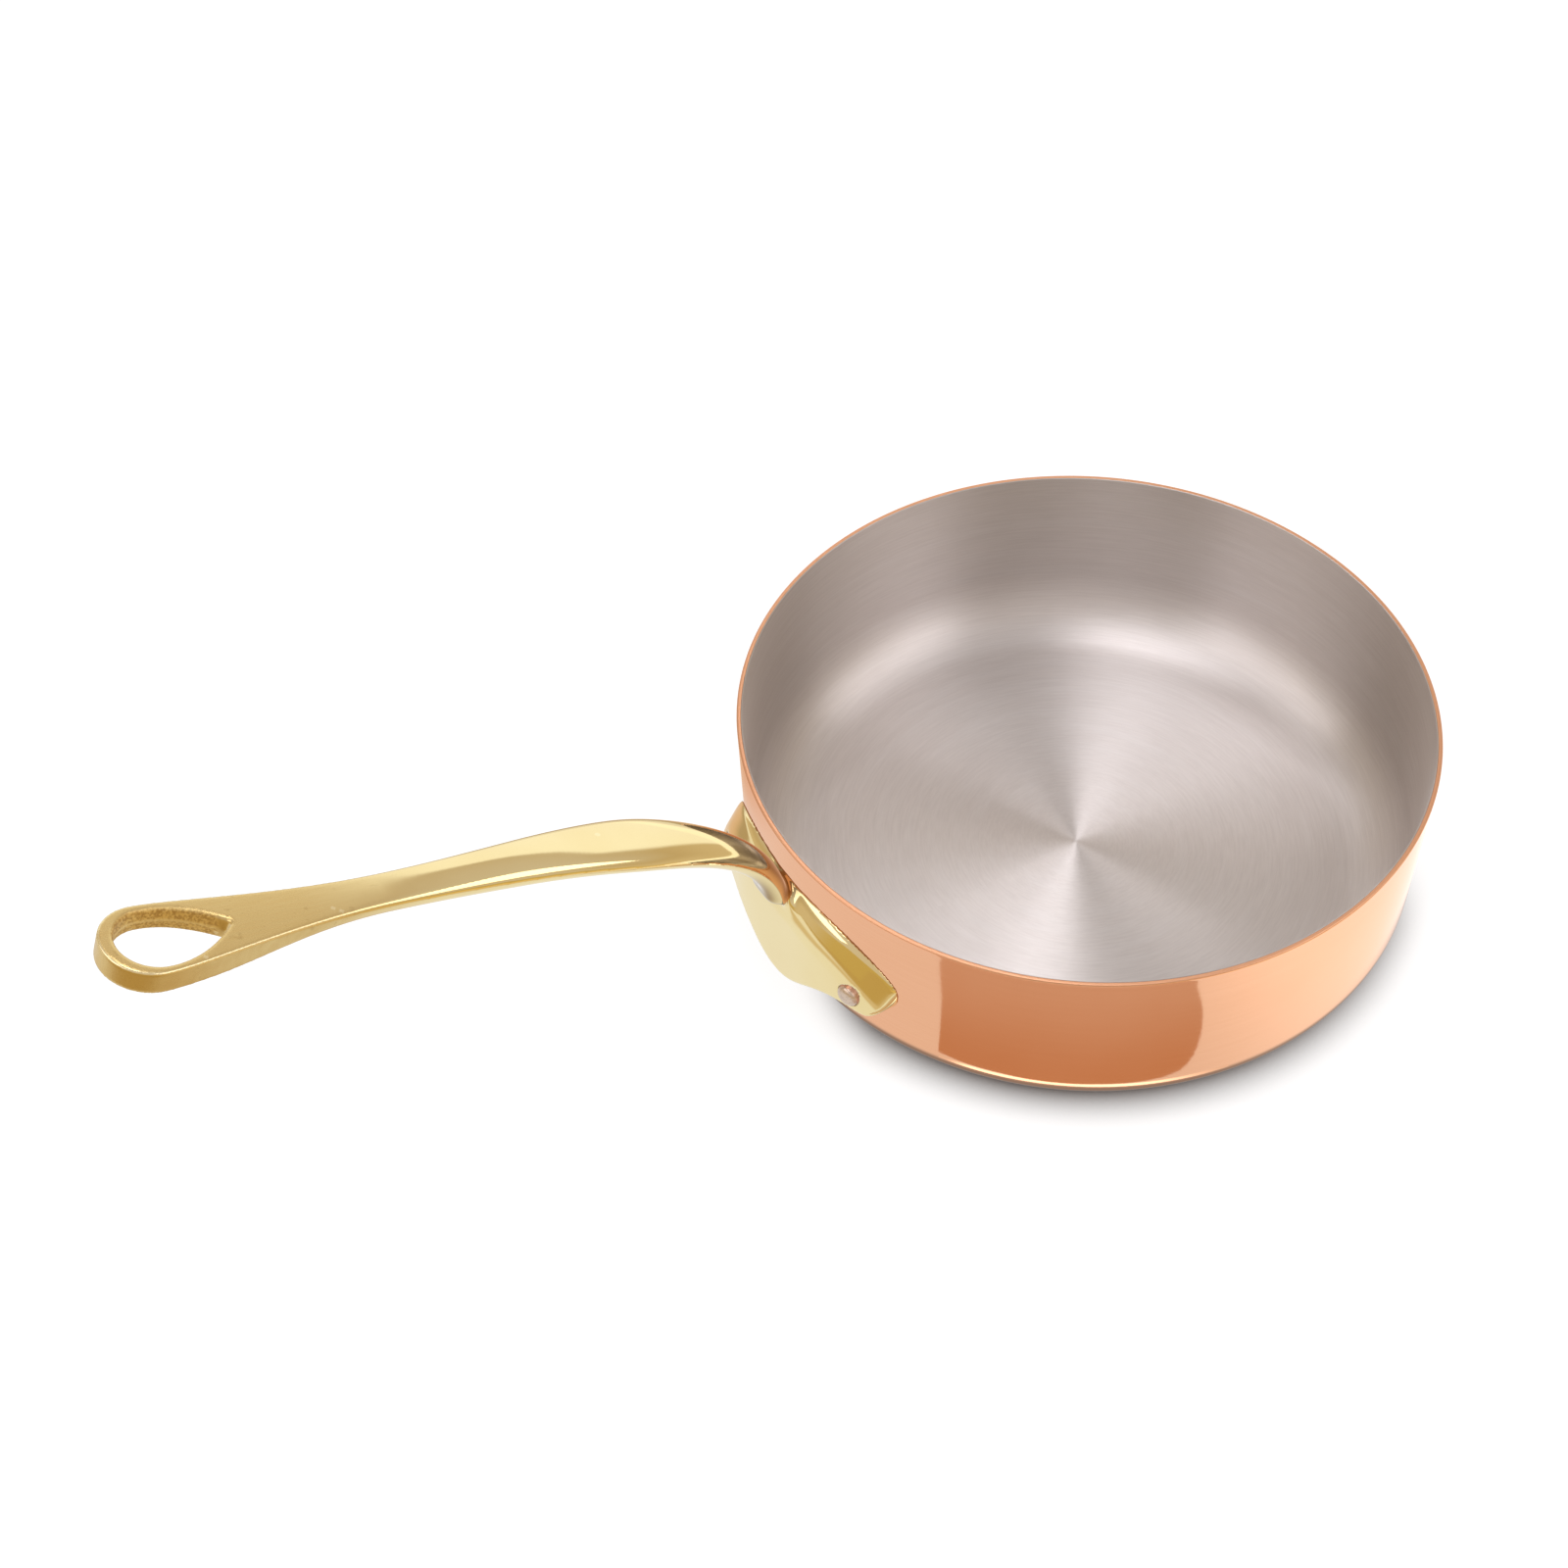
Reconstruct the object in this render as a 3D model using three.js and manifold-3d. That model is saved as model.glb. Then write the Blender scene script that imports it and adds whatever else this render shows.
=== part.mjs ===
// A copper saute pan, lined with steel, with a cast brass handle held by two rivets.
// Millimetres, Z up. The origin is the centre of the underside and the handle lies along -X.
import * as THREE from "three";
import { mergeVertices } from "three/addons/utils/BufferGeometryUtils.js";
import Module from "manifold-3d";

const wasm = await Module();
wasm.setup();

// Pan body
const rimRadius = 100; // outside of the rim
const panHeight = 56.5;
const wallTaper = THREE.MathUtils.degToRad(3); // the wall leans in towards the base
const cornerRadius = 12; // outside, between wall and base
const copperThickness = 1.2;
const bondGap = 0.05; // between the copper and its lining
const liningThickness = 0.3;
const cornerSteps = 7;
const turns = 96; // facets around the pan

// Mounting plate of the handle, seen from the front: across is Y, up is Z.
// The heights are measured down from its top edge.
const plateBelowRim = 9.5; // the plate's top edge below the rim of the pan
const plateGap = 0.3; // between the plate and the wall
const plateThick = 5.5; // from the wall to the flat face, in the middle of the top
const wingThick = 9.6; // the wings at the rivets
const plateEdge = 2; // the thin rim of the plate at the wall
const bevelDrop = 9; // the bevel along the top, measured down the face
const bevelSide = 8.5; // the bevel at each wing tip, measured across the face
const bevelLow = 1; // the small bevel along the lower edge
const plateTopFlat = 12.5; // half the straight stretch of the top edge
const wingReach = 41.5; // half the plate's width
const wingTipDrop = 16.5; // the outermost point of a wing
const wingTipRound = 7; // how far the tip runs upright before it bends to the top
const wingTipLength = 8; // from the outermost point in to where the underside is level
const wingDrop = 24.4; // underside of the wings
const lobeDrop = 38; // lowest point of the middle lobe
const lobeWidth = 12; // half-width of the round end of the lobe

// Bar of the handle, seen from the side.
// Out is measured from the rim of the pan and rise from the plate's top edge.
const rootOut = 4;
const rootRise = 1;
const rootSlope = THREE.MathUtils.degToRad(68);
const rootPull = 30; // how far the curve keeps the root's slope
const rootDepth = 12; // the bar starts this far down inside the plate
const straightOut = 80; // the bar is straight from here on
const straightRise = 53.4;
const barSlope = THREE.MathUtils.degToRad(17.1);
const straightPull = 33; // how far the curve keeps the bar's slope

// Bar of the handle, seen from above: half-widths and where they are
const rootHalf = 7.5;
const neckOut = 47;
const neckHalf = 9.4;
const waistOut = 119;
const waistHalf = 5.9;
const ringOut = 180; // centre of the round end

// Thickness of the bar
const rootThick = 4.8;
const neckThick = 4.2;
const waistThick = 4.4;
const ringThick = 6.7;
const crown = 0.6; // rise of the top face in the middle
const edgeRound = 0.8; // rounding of the upper edges

// Hanging hole in the ring end, a teardrop pointing at the pan
const holeRadius = 9.8;
const holeTip = 20.2; // from the centre of its round end to the point
const holeBack = 1.5; // its round end sits this much nearer the pan than the ring's
const ringWall = 2.4; // metal beside the hole

// Rivets
const rivetDrop = 17.6; // below the plate's top edge
const rivetInset = 11; // in from the outermost point of the wing, measured across
const rivetRadius = 3.3;
const rivetProud = 1; // how far the end stands out of the plate
const rivetDome = 0.8; // rise of the rounded end
const rivetFit = 0.25; // clearance in the holes
const rivetHeadRadius = 6;
const rivetHeadHeight = 1.8;
const rivetHeadRim = 0.6; // straight edge of the head
const rivetHeadGap = 0.15; // between the head and the lining
const rivetTurns = 24;

const metal = (color, roughness) => new THREE.MeshStandardMaterial({ color, roughness, metalness: 1 });

// A three.js geometry as a solid that can be cut and joined.
function solidOf(geometry) {
  const bare = geometry.clone();
  bare.deleteAttribute("normal");
  bare.deleteAttribute("uv");
  const merged = mergeVertices(bare, 1e-4);
  const index = merged.index.array;
  const kept = [];
  for (let i = 0; i < index.length; i += 3) {
    const [a, b, c] = index.slice(i, i + 3);
    if (a !== b && b !== c && a !== c) kept.push(a, b, c);
  }
  const vertProperties = merged.getAttribute("position").array;
  return new wasm.Manifold(new wasm.Mesh({ numProp: 3, vertProperties, triVerts: new Uint32Array(kept) }));
}

function meshOf(name, solid, material) {
  const { vertProperties, triVerts } = solid.getMesh();
  const geometry = new THREE.BufferGeometry();
  geometry.setAttribute("position", new THREE.BufferAttribute(new Float32Array(vertProperties), 3));
  geometry.setIndex(new THREE.BufferAttribute(new Uint32Array(triVerts), 1));
  geometry.computeVertexNormals();
  const mesh = new THREE.Mesh(geometry, material);
  mesh.name = name;
  return mesh;
}

// A profile of [radius, height] points turned about Z.
function turned(profile, steps) {
  const points = profile.map(([radius, height]) => new THREE.Vector2(radius, height));
  return new THREE.LatheGeometry(points, steps).rotateX(Math.PI / 2);
}

// Closed rings of points joined into a solid, with both ends filled.
function lofted(rings) {
  const count = rings[0].length;
  const positions = rings.flat(2);
  const index = [];
  for (let ring = 0; ring + 1 < rings.length; ring++) {
    for (let i = 0; i < count; i++) {
      const a = ring * count + i;
      const b = ring * count + ((i + 1) % count);
      index.push(a, b, b + count, a, b + count, a + count);
    }
  }
  const last = (rings.length - 1) * count;
  const flat = rings[0].map(([, across, up]) => new THREE.Vector2(across, up));
  for (const [a, b, c] of THREE.ShapeUtils.triangulateShape(flat, [])) {
    index.push(a, b, c, last + c, last + b, last + a);
  }
  const geometry = new THREE.BufferGeometry();
  geometry.setAttribute("position", new THREE.Float32BufferAttribute(positions, 3));
  return geometry.setIndex(index);
}

const mix = THREE.MathUtils.lerp;
const wallThickness = copperThickness + bondGap + liningThickness;
const wallRadius = (height) => rimRadius - (panHeight - height) * Math.tan(wallTaper);

// Heights above the base, and distances from the pan's axis, that follow from the sizes above
const plateTop = panHeight - plateBelowRim;
const rivetHeight = plateTop - rivetDrop;
const plateReach = wallRadius(plateTop) + plateThick;
const wingRadius = wallRadius(rivetHeight) + wingThick;
const rivetAngle = Math.asin((wingReach - rivetInset) / wallRadius(rivetHeight)); // either side of the bar
const rootAlong = rimRadius + rootOut;
const neckAlong = rimRadius + neckOut;
const straightAlong = rimRadius + straightOut;
const waistAlong = rimRadius + waistOut;
const ringAlong = rimRadius + ringOut;
const holeAlong = ringAlong - holeBack;
const ringRadius = holeRadius + ringWall;
const rootHeight = plateTop + rootRise;
const straightHeight = plateTop + straightRise;

// The pan's outline from the axis to the rim, moved in by an even depth.
function panSurface(depth) {
  const centre = wallRadius(cornerRadius) - cornerRadius / Math.cos(wallTaper);
  const points = [[0, depth]];
  for (let step = 0; step <= cornerSteps; step++) {
    const angle = mix(-Math.PI / 2, -wallTaper, step / cornerSteps);
    const radius = cornerRadius - depth;
    points.push([centre + radius * Math.cos(angle), cornerRadius + radius * Math.sin(angle)]);
  }
  points.push([rimRadius - depth / Math.cos(wallTaper), panHeight]);
  return points;
}

function layer(outer, inner) {
  return solidOf(turned([...panSurface(outer), ...panSurface(inner).reverse()], turns));
}

// Half of the plate's outline seen from the front, from the top middle round to the lowest point,
// moved in by a bevel at the top, at the side and below.
function plateHalf(drop, side, low) {
  const top = plateTop - drop;
  const flat = Math.max(plateTopFlat - side, 1);
  const reach = wingReach - side;
  const tip = plateTop - wingTipDrop;
  const level = wingReach - wingTipLength - side / 2;
  const under = plateTop - wingDrop + low;
  const bottom = plateTop - lobeDrop + low;
  const path = new THREE.Path();
  path.moveTo(0, top);
  path.lineTo(flat, top);
  path.bezierCurveTo(mix(flat, reach, 0.45), top, reach, tip + wingTipRound, reach, tip);
  path.bezierCurveTo(reach, under, mix(level, reach, 0.5), under, level, under);
  path.bezierCurveTo(level / 2, under, lobeWidth, bottom, 0, bottom);
  return path.getPoints(6);
}

function plateOutline(drop, side, low) {
  const half = plateHalf(drop, side, low).map(({ x, y }) => [x, y]);
  const mirrored = half.slice(1, -1).reverse().map(([across, up]) => [-across, up]);
  return [...half, ...mirrored];
}

// The plate from above: flat in the middle, with wings of even thickness that follow the wall.
const faceAlong = (across) => Math.min(plateReach, Math.sqrt(wingRadius ** 2 - across ** 2));

function plateFromAbove() {
  const turnOff = Math.acos(Math.min(plateReach / wingRadius, 1)); // where the flat face ends
  const wingEnd = Math.asin(wingReach / wingRadius) + turnOff;
  const shape = new THREE.Shape();
  shape.moveTo(0, 0);
  shape.absarc(0, 0, wingRadius, Math.PI - wingEnd, Math.PI - turnOff, false);
  shape.absarc(0, 0, wingRadius, Math.PI + turnOff, Math.PI + wingEnd, false);
  const depth = plateTop + panHeight;
  return solidOf(new THREE.ExtrudeGeometry(shape, { depth, bevelEnabled: false, curveSegments: 8 }));
}

// The plate: a thin rim that follows the wall, rising over a bevel to the face.
function plate() {
  const rim = plateOutline(0, 0, 0);
  const face = plateOutline(bevelDrop, bevelSide, bevelLow);
  const wallAlong = ([across, up]) => Math.sqrt(wallRadius(up) ** 2 - across ** 2);
  const rings = [rim.map(([across, up]) => [-plateReach / 2, across, up])];
  const across = [0, 0.12, 0.5, 1]; // shares of the bevel's width
  const rise = [0, 0.35, 0.75, 1]; // shares of its rise at the same places
  for (let step = 0; step < across.length; step++) {
    rings.push(
      rim.map((edge, i) => [
        -mix(wallAlong(edge) + plateGap + plateEdge, faceAlong(face[i][0]), rise[step]),
        mix(edge[0], face[i][0], across[step]),
        mix(edge[1], face[i][1], across[step]),
      ]),
    );
  }
  rings.push(face.map(([side, up]) => [-plateReach - wingThick, side, up]));
  return solidOf(lofted(rings)).intersect(plateFromAbove());
}

// The height of a curve over a given x, for a curve whose x always grows.
function heightAt(curve, x) {
  let low = 0;
  let high = 1;
  for (let i = 0; i < 40; i++) {
    const middle = (low + high) / 2;
    if (curve.getPoint(middle).x < x) low = middle;
    else high = middle;
  }
  return curve.getPoint(low).y;
}

const point = (x, y) => new THREE.Vector2(x, y);
const root = point(rootAlong, rootHeight);
const straight = point(straightAlong, straightHeight);
const rootDirection = point(Math.cos(rootSlope), Math.sin(rootSlope));
const barDirection = point(Math.cos(barSlope), Math.sin(barSlope));
const neckCurve = new THREE.CubicBezierCurve(
  root,
  root.clone().addScaledVector(rootDirection, rootPull),
  straight.clone().addScaledVector(barDirection, -straightPull),
  straight,
);
const barHeight = (along) => straightHeight + (along - straightAlong) * Math.tan(barSlope);

// Two curves of half-width over distance: neck to waist, and waist to ring.
const neckToWaist = new THREE.CubicBezierCurve(
  point(neckAlong, neckHalf),
  point(mix(neckAlong, waistAlong, 0.17), neckHalf),
  point(mix(neckAlong, waistAlong, 0.62), waistHalf),
  point(waistAlong, waistHalf),
);
const waistToRing = new THREE.CubicBezierCurve(
  point(waistAlong, waistHalf),
  point(mix(waistAlong, ringAlong, 0.46), waistHalf),
  point(mix(waistAlong, ringAlong, 0.82), ringRadius),
  point(ringAlong, ringRadius),
);

function halfWidth(along) {
  const { smoothstep } = THREE.MathUtils;
  if (along < neckAlong) return mix(rootHalf, neckHalf, smoothstep(along, rootAlong, neckAlong));
  if (along < waistAlong) return heightAt(neckToWaist, along);
  if (along < ringAlong) return heightAt(waistToRing, along);
  return Math.sqrt(Math.max(ringRadius ** 2 - ((along - ringAlong) / Math.cos(barSlope)) ** 2, 0.25));
}

function thickness(along) {
  const { smoothstep } = THREE.MathUtils;
  if (along < neckAlong) return mix(rootThick, neckThick, smoothstep(along, rootAlong, neckAlong));
  if (along < waistAlong) return mix(neckThick, waistThick, smoothstep(along, neckAlong, waistAlong));
  return mix(waistThick, ringThick, smoothstep(along, waistAlong, ringAlong - ringRadius));
}

// One cross-section of the bar: a crowned top, rounded upper edges and an underside that is round
// at the neck and squarer towards the ring.
function section(place, slope) {
  const wide = halfWidth(place.x);
  const thick = thickness(place.x);
  const round = Math.min(edgeRound, wide / 3);
  const square = THREE.MathUtils.smoothstep(place.x, waistAlong, ringAlong - ringRadius);
  const half = [
    [0, crown],
    [wide * 0.6, crown * 0.7],
    [wide - round, 0],
    [wide, -round],
    [wide, -thick * mix(0.38, 0.88, square)],
    [wide * mix(0.8, 0.95, square), -thick * mix(0.84, 1, square)],
    [wide * 0.4, -thick],
  ];
  const other = half.slice(1).reverse().map(([across, up]) => [-across, up]);
  return [...half, [0, -thick], ...other].map(([across, up]) => [
    up * Math.sin(slope) - place.x,
    across,
    place.y + up * Math.cos(slope),
  ]);
}

function bar() {
  const stations = [[root.clone().addScaledVector(rootDirection, -rootDepth), rootSlope]];
  const neckSteps = 10;
  for (let step = 0; step < neckSteps; step++) {
    const place = neckCurve.getPoint(step / neckSteps);
    const tangent = neckCurve.getTangent(step / neckSteps);
    stations.push([place, Math.atan2(tangent.y, tangent.x)]);
  }
  const straightSteps = 10;
  for (let step = 0; step <= straightSteps; step++) {
    const along = mix(straightAlong, ringAlong, step / straightSteps);
    stations.push([point(along, barHeight(along)), barSlope]);
  }
  const endSteps = 8;
  for (let step = 1; step <= endSteps; step++) {
    const along = ringAlong + ringRadius * Math.cos(barSlope) * Math.sin((step / endSteps) * (Math.PI / 2));
    stations.push([point(along, barHeight(along)), barSlope]);
  }
  return solidOf(lofted(stations.map(([place, slope]) => section(place, slope))));
}

// The teardrop, cut square to the ring end.
function hangingHole() {
  const shape = new THREE.Shape();
  shape.moveTo(holeTip, 0);
  shape.quadraticCurveTo(holeTip / 2, holeRadius, 0, holeRadius);
  shape.absarc(0, 0, holeRadius, Math.PI / 2, Math.PI * 1.5, false);
  shape.quadraticCurveTo(holeTip / 2, -holeRadius, holeTip, 0);
  const depth = 4 * ringThick;
  const geometry = new THREE.ExtrudeGeometry(shape, { depth, bevelEnabled: false, curveSegments: 10 });
  geometry.translate(0, 0, -depth / 2).rotateY(barSlope);
  return solidOf(geometry.translate(-holeAlong, 0, barHeight(holeAlong)));
}

// Turns a shape made about Z so that it stands out square from the wall at a rivet.
function atRivet(geometry, side) {
  const inAxis = -Math.cos(rivetAngle);
  const across = side * Math.sin(rivetAngle);
  const outward = new THREE.Vector3(inAxis, across, -Math.tan(wallTaper)).normalize();
  const turn = new THREE.Quaternion().setFromUnitVectors(new THREE.Vector3(0, 0, 1), outward);
  const radius = wallRadius(rivetHeight);
  return geometry.applyQuaternion(turn).translate(radius * inAxis, radius * across, rivetHeight);
}

// The seat of a rivet's head, measured out from the outside of the wall.
const headSag = wallRadius(rivetHeight) - Math.sqrt(wallRadius(rivetHeight) ** 2 - rivetHeadRadius ** 2);
const headSeat = -wallThickness - headSag - rivetHeadGap;

function rivet(side) {
  const end = wingThick + rivetProud;
  const profile = [[0, headSeat - rivetHeadHeight]];
  for (let step = 1; step <= 3; step++) {
    const angle = (step / 3) * (Math.PI / 2);
    const rise = (rivetHeadHeight - rivetHeadRim) * Math.cos(angle);
    profile.push([rivetHeadRadius * Math.sin(angle), headSeat - rivetHeadRim - rise]);
  }
  profile.push([rivetHeadRadius, headSeat], [rivetRadius, headSeat], [rivetRadius, end - rivetDome]);
  profile.push([rivetRadius * 0.7, end - rivetDome * 0.3], [0, end]);
  return solidOf(atRivet(turned(profile, rivetTurns), side));
}

function rivetHole(side) {
  const radius = rivetRadius + rivetFit;
  const length = 4 * (wingThick + rivetProud);
  const cylinder = new THREE.CylinderGeometry(radius, radius, length, rivetTurns);
  return solidOf(atRivet(cylinder.rotateX(Math.PI / 2), side));
}

const holes = rivetHole(1).add(rivetHole(-1));
const panBlock = solidOf(turned([...panSurface(-plateGap), [0, panHeight]], turns));

const copperShell = layer(0, copperThickness).subtract(holes);
const steelLining = layer(copperThickness + bondGap, wallThickness).subtract(holes);
const handle = plate().add(bar()).subtract(panBlock).subtract(hangingHole()).subtract(holes);

const pan = new THREE.Group();
pan.add(meshOf("copper_shell", copperShell, metal(0xc98560, 0.15)));
pan.add(meshOf("steel_lining", steelLining, metal(0xb9aaa2, 0.35)));
pan.add(meshOf("handle", handle, metal(0xd9b85c, 0.22)));
pan.add(meshOf("rivet_near", rivet(-1), metal(0x9a8a80, 0.4)));
pan.add(meshOf("rivet_far", rivet(1), metal(0x9a8a80, 0.4)));

export default pan;
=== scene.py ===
"""Looks of a copper saute pan with a steel lining and a riveted brass handle.

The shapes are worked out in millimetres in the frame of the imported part: Z up, the handle along -X.
"""
import math

import bpy
import numpy as np
from mathutils import Matrix, Vector


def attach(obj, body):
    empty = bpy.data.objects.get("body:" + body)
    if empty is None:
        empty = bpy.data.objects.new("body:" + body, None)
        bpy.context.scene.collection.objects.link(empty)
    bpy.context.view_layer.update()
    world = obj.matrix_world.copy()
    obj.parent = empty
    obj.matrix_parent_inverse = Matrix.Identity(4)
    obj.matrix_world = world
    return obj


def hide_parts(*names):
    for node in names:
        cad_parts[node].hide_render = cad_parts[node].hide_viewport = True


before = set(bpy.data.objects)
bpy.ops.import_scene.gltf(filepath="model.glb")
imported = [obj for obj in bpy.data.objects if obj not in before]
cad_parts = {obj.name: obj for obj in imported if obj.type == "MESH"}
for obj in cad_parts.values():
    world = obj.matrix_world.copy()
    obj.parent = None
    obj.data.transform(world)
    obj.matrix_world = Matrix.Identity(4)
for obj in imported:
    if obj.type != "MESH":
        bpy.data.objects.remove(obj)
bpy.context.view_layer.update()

MM = 0.001

# Pan body, in millimetres
RIM_RADIUS = 100.0
PAN_HEIGHT = 56.5
WALL_TAPER = math.radians(3)
CORNER_RADIUS = 12.0
COPPER_THICK = 1.2
BOND_GAP = 0.05
LINING_THICK = 0.3
INNER_CORNER = 18.0
WALL_THICK = COPPER_THICK + BOND_GAP + LINING_THICK
RIM_ROUND, COPPER_INNER_ROUND = 0.45, 0.1
LINING_OUTER_ROUND, LINING_INNER_ROUND = 0.05, 0.12
TURNS = 288

# Mounting plate of the handle
PLATE_TOP = 47.0
PLATE_GAP = 0.3
PLATE_REACH = 105.0
WING_THICK = 7.4
FACET_FOOT, FACET_FROM = 38.5, 12.0
FACET_LEAN, FACET_BEND = 0.65, 0.00026
FRONT_SOFT, FACET_SOFT = 1.2, 2.4
TOP_FLAT = 12.5
CREST_SHARE, CREST_RISE = 0.4, 0.4
WING_REACH = 41.5
WING_TIP = 30.5
WING_TIP_ROUND = 7.0
WING_TIP_LENGTH = 8.0
WING_LOW = 23.2
LOBE_LOW = 10.0
LOBE_WIDTH = 12.0
LOW_EDGE, TOP_EDGE, SHOULDER_EDGE, BACK_EDGE = 0.8, 3.2, 0.9, 0.4

# Bar of the handle: distances from the pan's axis and heights above the base
ROOT = np.array([104.7, 46.7])
ROOT_SLOPE = math.radians(79)
STRAIGHT = np.array([180.0, 100.4])
BAR_SLOPE = math.radians(17.1)
ROOT_PULL, STRAIGHT_PULL = 27.5, 29.2
SPINE_BEFORE, SPINE_AFTER, SPINE_GAP = 24.0, 130.0, 0.5
NECK_ALONG, NECK_HALF = 147.0, 10.0
WAIST_ALONG, WAIST_HALF = 219.0, 5.9
RING_ALONG, RING_RADIUS = 280.0, 12.2
ROOT_HALF = 7.0
ROOT_DEPTH, ROOT_SOFT = 5.0, 4.0
ROOT_THICK, NECK_THICK, WAIST_THICK, RING_THICK = 4.8, 4.2, 4.4, 6.7
ROOT_CROWN, NECK_CROWN, RING_CROWN = 2.2, 1.5, 0.15
CROWN_FROM, CROWN_TO = 180.0, 220.0
NECK_LIFT = 0.8
NECK_BELLY, RING_BELLY = 0.5, 0.02
NECK_EDGE, RING_EDGE = 3.4, 0.6
PAST_SIDE = 1.2
FILLET = 4.0

# Hanging hole, and where its wall keeps the skin of the casting
HOLE_ALONG = 278.5
HOLE_RADIUS = 9.8
HOLE_TIP = 20.2
HOLE_TIP_ROUND = 1.4
HOLE_DRAFT = 0.5
HOLE_EDGE = 0.9
HOLE_MARGIN = 34.0
SKIN_FADE = (0.25, 0.6)
PARTING_FADE = (0.2, 0.6)
SKIN_FROM, SKIN_FULL = 1.5, 4.0

# Rivets
RIVET_HEIGHT = 28.6
RIVET_ACROSS = 30.2
RIVET_RADIUS = 3.3
RIVET_FIT = 0.15
RIVET_PROUD = 1.6
RIVET_DOME, RIVET_DOME_POWER = 1.5, 0.8
RIVET_HEAD_RADIUS = 6.0
RIVET_HEAD_HEIGHT = 1.8
RIVET_HEAD_RIM = 0.6
RIVET_HEAD_GAP = 0.15
RIVET_BEVEL = 0.1
RIVET_HOLE_EDGE = 0.3
CUTTER_HALF = 8.0

# Lattice of the handle's distances. One block holds the plate, the other the bar beyond JOIN
LATTICE = 0.5
LOW_CORNER = np.array([84.0, -44.0, 2.0])
HIGH_CORNER = np.array([297.0, 44.0, 144.0])
JOIN = 126.0
PLATE_BLOCK_TOP = 96.0
BAR_SIDE = 16.0
BAR_LOW = 64.0
OUTSIDE, NO_HOLE = 5.0, 9.0
CHUNK = 20000
SETTLE_ROUNDS, SETTLE_SHARE = 5, 0.5
SLOPE_REACH, SLOPE_LEAST = 0.25, 0.05

# The camera stands to the near side of the handle and looks down at the pan
VIEW_TURN = math.radians(31.5)
CAMERA_PLACE = (-0.42627, -0.53006, 0.76163)
CAMERA_AIM = (0.35333, 0.57658, -0.73669)
LENS = 78.82
SENSOR = 36.0
CLIP_START = 0.01


def mix(a, b, share):
    return a + (b - a) * share


def smoothstep(x, low, high):
    t = np.clip((x - low) / (high - low), 0, 1)
    return t * t * (3 - 2 * t)


def smooth_max(a, b, reach):
    """The larger of two fields, with the corner between them rounded over the given reach."""
    near = np.maximum(reach - np.abs(a - b), 0) / reach
    return np.maximum(a, b) + near * near * reach / 4


def smooth_min(a, b, reach):
    return -smooth_max(-a, -b, reach)


def bezier(points, steps):
    """Points along a cubic curve."""
    t = np.linspace(0, 1, steps + 1)[:, None]
    a, b, c, d = (np.asarray(p, float) for p in points)
    return a * (1 - t) ** 3 + 3 * b * t * (1 - t) ** 2 + 3 * c * t * t * (1 - t) + d * t**3


def wall_radius(height):
    """The radius of the copper's outside at a height."""
    return RIM_RADIUS - (PAN_HEIGHT - height) * math.tan(WALL_TAPER)


# Pieces


def make_piece(name, verts, faces, material, node):
    """A smooth mesh, given in millimetres, that stands for one node of the part."""
    mesh = bpy.data.meshes.new(name)
    mesh.from_pydata((np.asarray(verts, float) * MM).tolist(), [], [list(map(int, f)) for f in faces])
    mesh.polygons.foreach_set("use_smooth", [True] * len(mesh.polygons))
    mesh.update()
    piece = bpy.data.objects.new(name, mesh)
    bpy.context.scene.collection.objects.link(piece)
    mesh.materials.append(material)
    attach(piece, "root")
    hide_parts(node)
    return piece


def turned(profile, steps):
    """A profile of [radius, height] points turned about Z. It starts and ends on the axis."""
    verts = [(0, 0, profile[0][1])]
    rings = profile[1:-1]
    angles = [2 * math.pi * i / steps for i in range(steps)]
    for radius, height in rings:
        verts += [(radius * math.cos(a), radius * math.sin(a), height) for a in angles]
    verts.append((0, 0, profile[-1][1]))
    faces = []
    for i in range(steps):
        j = (i + 1) % steps
        faces.append((0, 1 + j, 1 + i))
        for ring in range(len(rings) - 1):
            a = 1 + ring * steps
            b = a + steps
            faces.append((a + i, a + j, b + j, b + i))
        last = 1 + (len(rings) - 1) * steps
        faces.append((last + i, last + j, len(verts) - 1))
    return np.array(verts), faces


def pan_surface(depth, radius, rim_round, outer):
    """The pan's outline from the axis to the rim, moved in by an even depth, with a given corner radius."""
    centre = wall_radius(radius + depth) - (radius + depth) / math.cos(WALL_TAPER)
    points = [(0, depth)]
    points += [(share * centre, depth) for share in (0.02, 0.1, 0.3, 0.5, 0.7, 0.85, 0.94, 0.98)]
    for step in range(21):
        angle = mix(-math.pi / 2, -WALL_TAPER, step / 20)
        points.append((centre + radius * math.cos(angle), depth + radius + radius * math.sin(angle)))
    low = points[-1]
    high = (RIM_RADIUS - depth / math.cos(WALL_TAPER), PAN_HEIGHT)
    for share in (0.02, 0.08, 0.2, 0.4, 0.6, 0.8, 0.92, 0.975):
        points.append((mix(low[0], high[0], share), mix(low[1], high[1], share)))
    side = -1 if outer else 1
    for step in range(6):
        angle = step / 5 * math.pi / 2
        inward = rim_round * (1 - math.cos(angle))
        points.append((high[0] + side * inward, PAN_HEIGHT - rim_round * (1 - math.sin(angle))))
    return points


def pan_layer(outer, inner, inner_corner, outer_round, inner_round):
    """A layer of the pan between two depths, with the roundings of its edges at the rim."""
    outside = pan_surface(outer, CORNER_RADIUS - outer, outer_round, True)
    inside = pan_surface(inner, inner_corner, inner_round, False)
    return turned(outside + inside[::-1], TURNS)


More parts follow.
